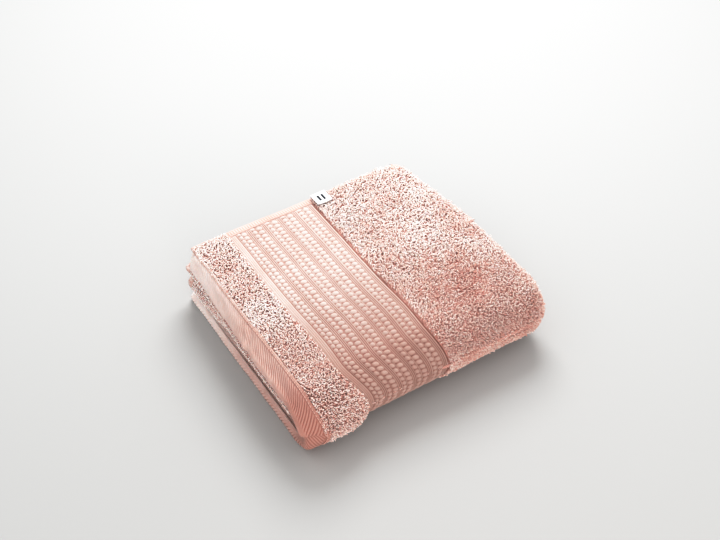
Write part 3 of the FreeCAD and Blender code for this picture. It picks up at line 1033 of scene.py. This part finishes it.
# Spacing of the loops, in mm, where they are hidden or hardly seen, and where they show.
COARSE = 2.3
FINE = 1.44
made = {}
for half in (1, -1):
    name = HALF_NAME[half]
    # The ground cloth comes first.
    parts = [ground_cloth(half), lining(half), *fold_end(half), dobby_border(half), inner_border(half),
             *end_hem(half), inner_hem(half), *side_hem(half)]
    seed = 100 if half > 0 else 200
    start = STRIP_START + 0.3 if half > 0 else BASE_HEM_END + 0.5
    face = FINE if half > 0 else COARSE
    field, strip_end, edge_end = (BORDER_END + 0.9, RUNS[1]), BORDER_START - 0.6, RUNS[7] - 9
    split = RUNS[2] + 112
    middle_v, edge_v = (SIDE_HEM - 0.2, V_FLAT + 31), (SIDE_HEM - 0.3, 17)
    inside = {"tall": 0.95, "steps": COARSE_STEPS}

    def add_pile(label, u_span, v_span, cell, draw, **options):
        parts.append(pile(name + label, half, u_span, v_span, cell, seed + draw, **options))

    add_pile("field_pile_back", field, (FIELD_BACK, FIELD_MIDDLE), face, 1, replaces=[name + "terry_field"])
    add_pile("field_pile_middle", field, (FIELD_MIDDLE, FIELD_FRONT), face, 2)
    add_pile("field_pile_front", field, (FIELD_FRONT, V_FLAT), face, 13)
    add_pile("field_pile_fold", (field[0], RUNS[2] - 5), (V_FLAT, V_HINGE), FINE, 3)
    add_pile("far_fold_pile", (RUNS[1], RUNS[2]), (SIDE_HEM - 0.2, V_FLAT), FINE * 1.08, 4)
    add_pile("middle_pile_far", (RUNS[2], split), middle_v, COARSE, 5, steps=COARSE_STEPS, flat=True)
    add_pile("middle_pile_near", (split, RUNS[3]), middle_v, COARSE, 6, steps=COARSE_STEPS, flat=True,
             keep=lambda u, v: (v < V_FLAT) | (u < RUNS[3] - 8))
    add_pile("strip_pile", (start, strip_end), (3.8, V_FLAT), face, 7, replaces=[name + "pile_strip"])
    add_pile("strip_pile_fold", (start, BORDER_START - 0.2), (V_FLAT, V_HINGE), FINE * 0.94, 8, tall=1.08,
             keep=lambda u, v: u > start - 2.5 + 9 * hem_frame(v, 1)[3] * (half > 0))
    # The fold loops under the hem are pressed: dense, and paler in painted light.
    add_pile("fold_loop_pile", (RUNS[3] - 1, RUNS[4] + 7), (SIDE_HEM - 0.2, V_HINGE), FINE * 0.86, 9,
             tall=0.42, steps=COARSE_STEPS, replaces=[name + "fold_loop"], pressed=True)
    add_pile("edge_pile_out", (RUNS[4] + 7, edge_end), edge_v, 2.1, 10, **inside)
    add_pile("edge_pile_in", (start, edge_end), edge_v, 2.1, 11, side=-1, **inside)
    add_pile("inner_strip_pile", (edge_end - 11, edge_end), (edge_v[1], V_FLAT + 20), 2.2, 12, side=-1,
             **inside)
    made[half] = parts

fold_parts = crease()
flap, motif, sewn = make_label()

for half, (ground, *others) in made.items():
    others.extend([sewn] if half > 0 else fold_parts)

# ---------------------------------------------------------------- floor, light and camera


bpy.ops.mesh.primitive_plane_add(size=14, location=(0, 0, 0))
floor = bpy.context.object
floor.name = "floor"
pale = Nodes("pale_floor", 0.9)
pale.base(pale.ramp(pale.noise(0.8), (0.3, (0.445, 0.448, 0.445, 1)), (0.7, (0.455, 0.458, 0.455, 1))))
pale.bump(pale.noise(40), 0.02, 0.001)
floor.data.materials.append(pale.material)


def area_light(name, place_at, aim, size, power, tint=(1, 1, 1)):
    data = bpy.data.lights.new(name, "AREA")
    data.shape = "DISK"
    data.size = size
    data.energy = power
    data.color = tint
    lamp = bpy.data.objects.new(name, data)
    lamp.location = place_at
    lamp.rotation_euler = (Vector(aim) - Vector(place_at)).to_track_quat("-Z", "Y").to_euler()
    bpy.context.scene.collection.objects.link(lamp)


world = bpy.data.worlds.new("studio")
world.use_nodes = True
world.node_tree.nodes["Background"].inputs["Color"].default_value = (1, 1, 1, 1)
world.node_tree.nodes["Background"].inputs["Strength"].default_value = 1.03
bpy.context.scene.world = world
area_light("key", (0.44, 0.62, 0.85), (0.2, 0.3, 0.0), 0.75, 12.2)
area_light("fill", (-0.45, -1.42, 0.26), (0, 0, 0.03), 0.8, 9.5, (1.0, 0.85, 0.77))

# The tone curve of a studio print: a little more contrast in the middle tones.
view = bpy.context.scene.view_settings
view.view_transform = "Standard"
view.use_curve_mapping = True
for tone_at in ((0.3, 0.235), (0.6, 0.62), (0.85, 0.915)):
    view.curve_mapping.curves[3].points.new(*tone_at)
view.curve_mapping.update()

AZIMUTH, ELEVATION = math.radians(-32.4), math.radians(45.4)
back = Vector((math.sin(AZIMUTH) * math.cos(ELEVATION), -math.cos(AZIMUTH) * math.cos(ELEVATION),
               math.sin(ELEVATION)))
AIM, DISTANCE = Vector((0.03728, 0.05845, 0.0)), 1.2276
camera_data = bpy.data.cameras.new("camera")
camera_data.lens = 61.2
camera_data.sensor_width = 36
camera = bpy.data.objects.new("camera", camera_data)
camera.location = AIM + back * DISTANCE
camera.rotation_euler = (-back).to_track_quat("-Z", "Y").to_euler()
bpy.context.scene.collection.objects.link(camera)
bpy.context.scene.camera = camera
